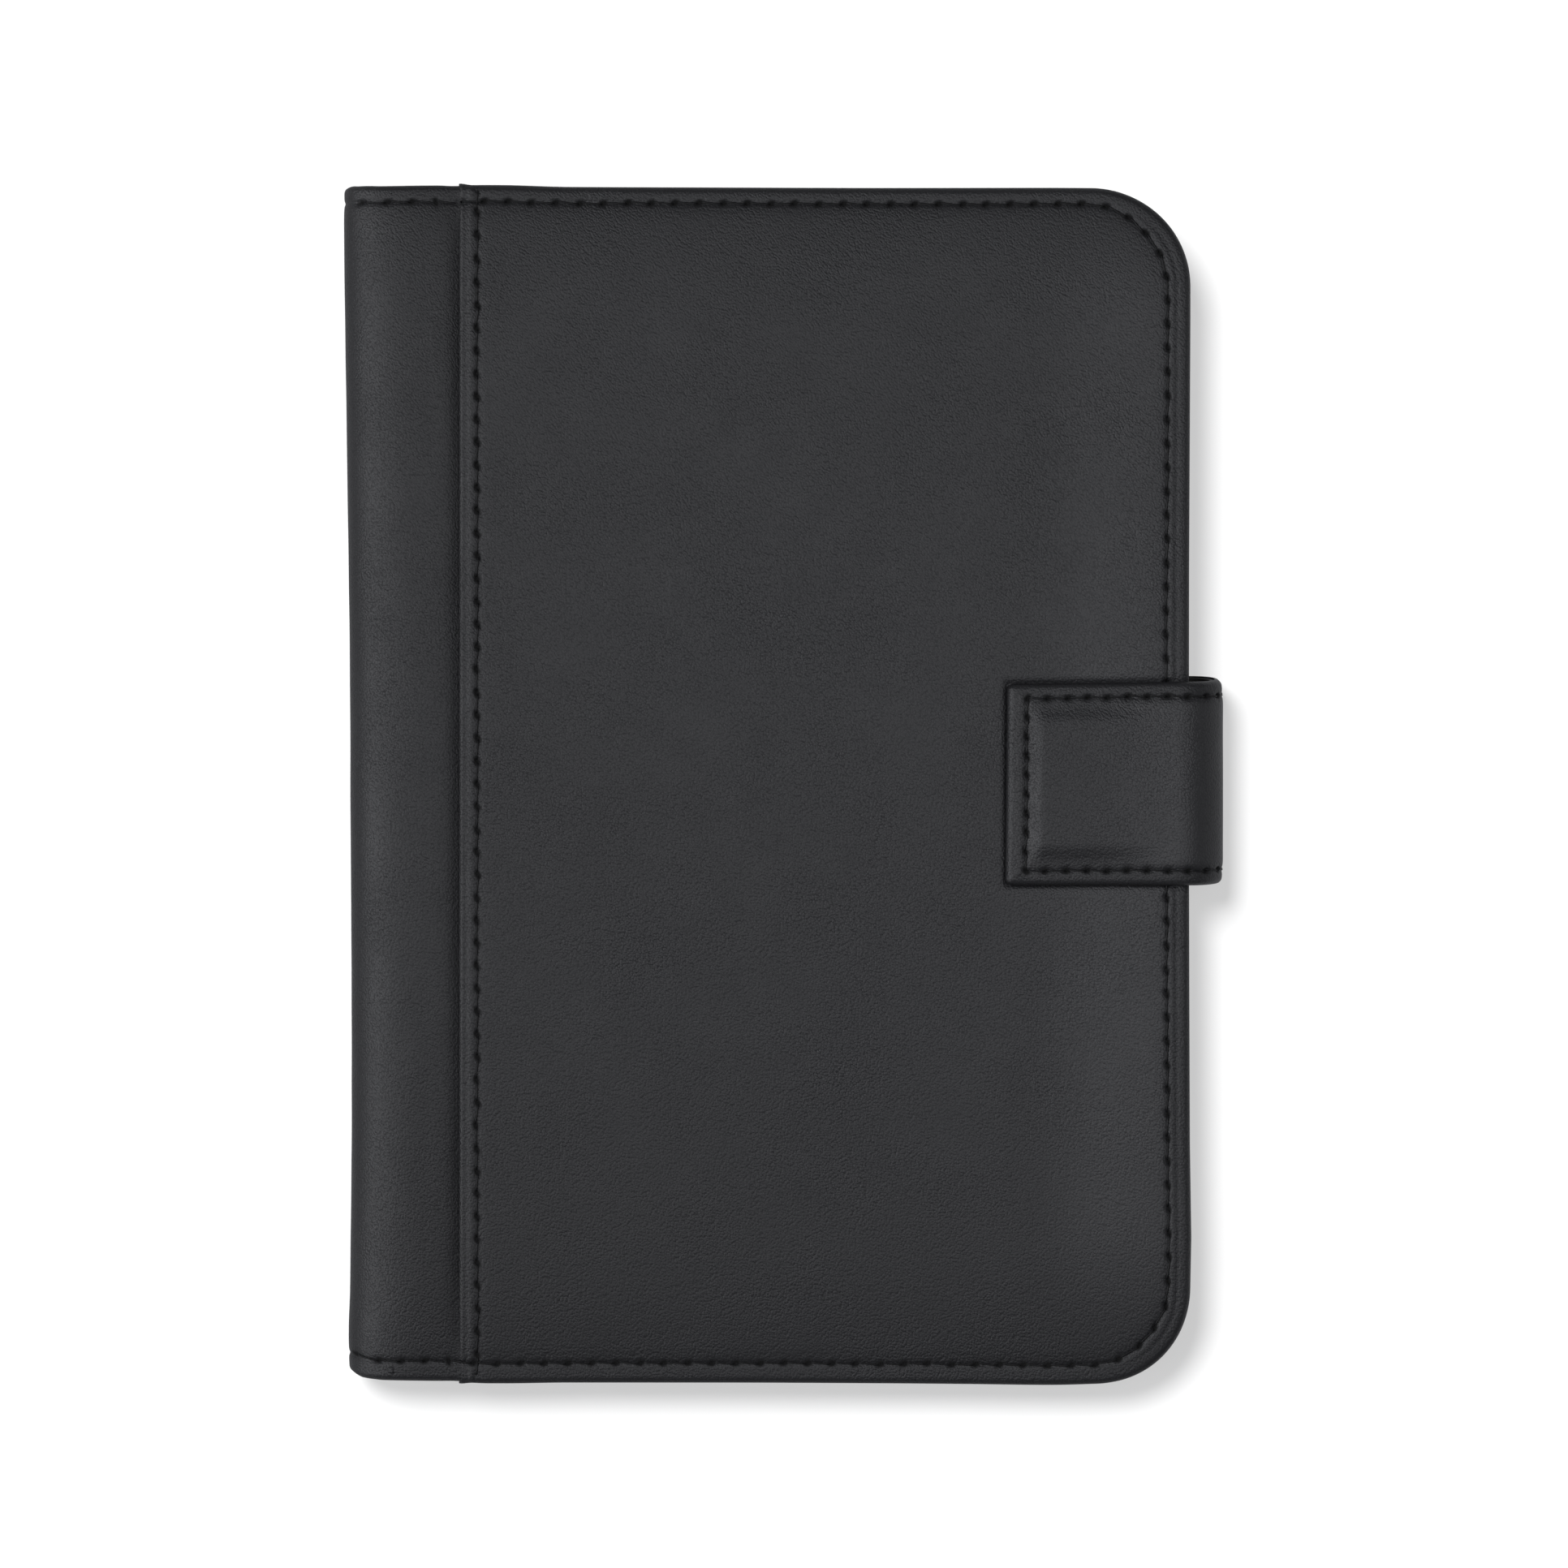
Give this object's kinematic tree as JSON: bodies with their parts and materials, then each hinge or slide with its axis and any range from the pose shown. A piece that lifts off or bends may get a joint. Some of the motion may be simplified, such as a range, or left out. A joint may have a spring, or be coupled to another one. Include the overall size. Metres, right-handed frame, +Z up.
{
  "type": "notebook cover",
  "caption": "Closed black leather notebook cover with a lapped, stitched spine panel and a magnetic strap tab that wraps from the back cover over the fore-edge.",
  "frame": {"origin": "centre of the closed cover's footprint, strap included, on the surface that it lies on", "axes": "+Z up out of the front cover, +Y to the head of the book, +X towards the fore-edge and the strap"},
  "size_m": [0.1654, 0.226, 0.0199],
  "materials": {
    "outer_leather": "smooth fine grain, satin",
    "inner_leather": "smooth fine grain, satin",
    "lining": "fine matt cloth",
    "strap_lining": "smooth, matt",
    "thread": "waxed twisted thread",
    "board": "grey-brown bookbinding board",
    "foam": "thin closed-cell foam",
    "steel": "plain sheet",
    "paper": "uncoated writing paper",
    "card": "kraft card",
    "binding": "book cloth tape"
  },
  "bodies": {
    "back_cover": {"back_leather": "outer_leather", "back_spine_flap": "outer_leather", "back_foam": "foam", "back_board": "board", "back_lining": "lining", "back_sleeve": "inner_leather", "back_edge_thread": "thread", "back_seam_thread": "thread", "strap_anchor_leather": "outer_leather", "strap_anchor_lining": "strap_lining", "refill_pages": "paper", "refill_card": "card", "refill_binding": "binding"},
    "spine": {"spine_leather": "outer_leather", "spine_lining": "lining", "spine_stiffener": "board", "spine_thread": "thread"},
    "front_cover": {"front_leather": "outer_leather", "front_spine_flap": "outer_leather", "front_foam": "foam", "front_board": "board", "front_lining": "lining", "closure_plate": "steel", "front_pocket": "inner_leather", "card_slot_upper": "inner_leather", "card_slot_middle": "inner_leather", "card_slot_lower": "inner_leather", "front_edge_thread": "thread", "front_seam_thread": "thread"},
    "strap_side": {"strap_side_leather": "outer_leather", "strap_side_lining": "strap_lining", "strap_side_thread": "thread"},
    "strap_tab": {"strap_tab_leather": "outer_leather", "strap_tab_lining": "strap_lining", "strap_tab_thread": "thread", "tab_magnet": "steel"}
  },
  "joints": [
    {"name": "spine_fold", "type": "hinge", "parent": "back_cover", "child": "spine", "pos_m": [-0.08093, 0, 0.00177], "axis": [0, -1, 0], "range_deg": [0, 90]},
    {"name": "front_fold", "type": "hinge", "parent": "spine", "child": "front_cover", "pos_m": [-0.08093, 0, 0.01563], "axis": [0, -1, 0], "range_deg": [0, 90]},
    {"name": "strap_swing", "type": "hinge", "parent": "back_cover", "child": "strap_side", "pos_m": [0.08071, 0, 0.00289], "axis": [0, 1, 0], "range_deg": [0, 90]},
    {"name": "strap_lift", "type": "hinge", "parent": "strap_side", "child": "strap_tab", "pos_m": [0.08031, 0, 0.0175], "axis": [0, 1, 0], "range_deg": [0, 90]}
  ],
  "couplings": [
    {"joint": "front_fold", "follows": "spine_fold", "ratio": 1}
  ]
}
